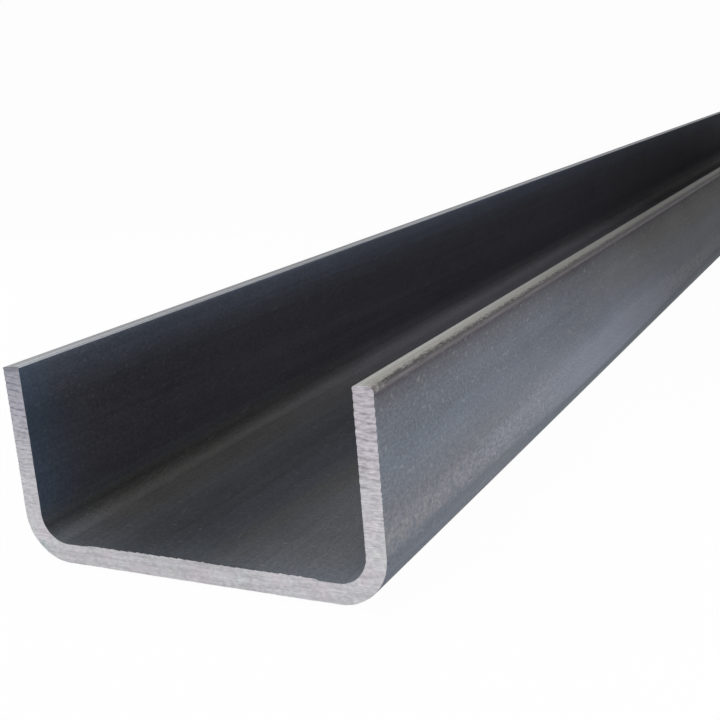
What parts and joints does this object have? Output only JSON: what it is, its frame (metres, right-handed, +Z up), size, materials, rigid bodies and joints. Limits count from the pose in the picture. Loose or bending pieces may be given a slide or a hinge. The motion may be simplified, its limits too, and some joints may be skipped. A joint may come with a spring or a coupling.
{
  "type": "steel channel",
  "caption": "Length of cold-formed steel channel with equal upright flanges, rounded bends, slit flange tips and square sawn ends, for framing, rails and brackets.",
  "frame": {"origin": "centre of the footprint on the underside of the web, midway between the sawn ends", "axes": "+X across the web from the left flange to the right one, +Y along the bar from the near sawn end to the far one, +Z up out of the open side of the channel"},
  "size_m": [0.08, 1, 0.04],
  "materials": {
    "mill_scale_steel": "hot-rolled strip in its dark blue-grey mill scale, cold formed; slit flange tips and band-sawn ends are bare steel"
  },
  "bodies": {
    "root": {"channel": "mill_scale_steel"}
  },
  "joints": []
}
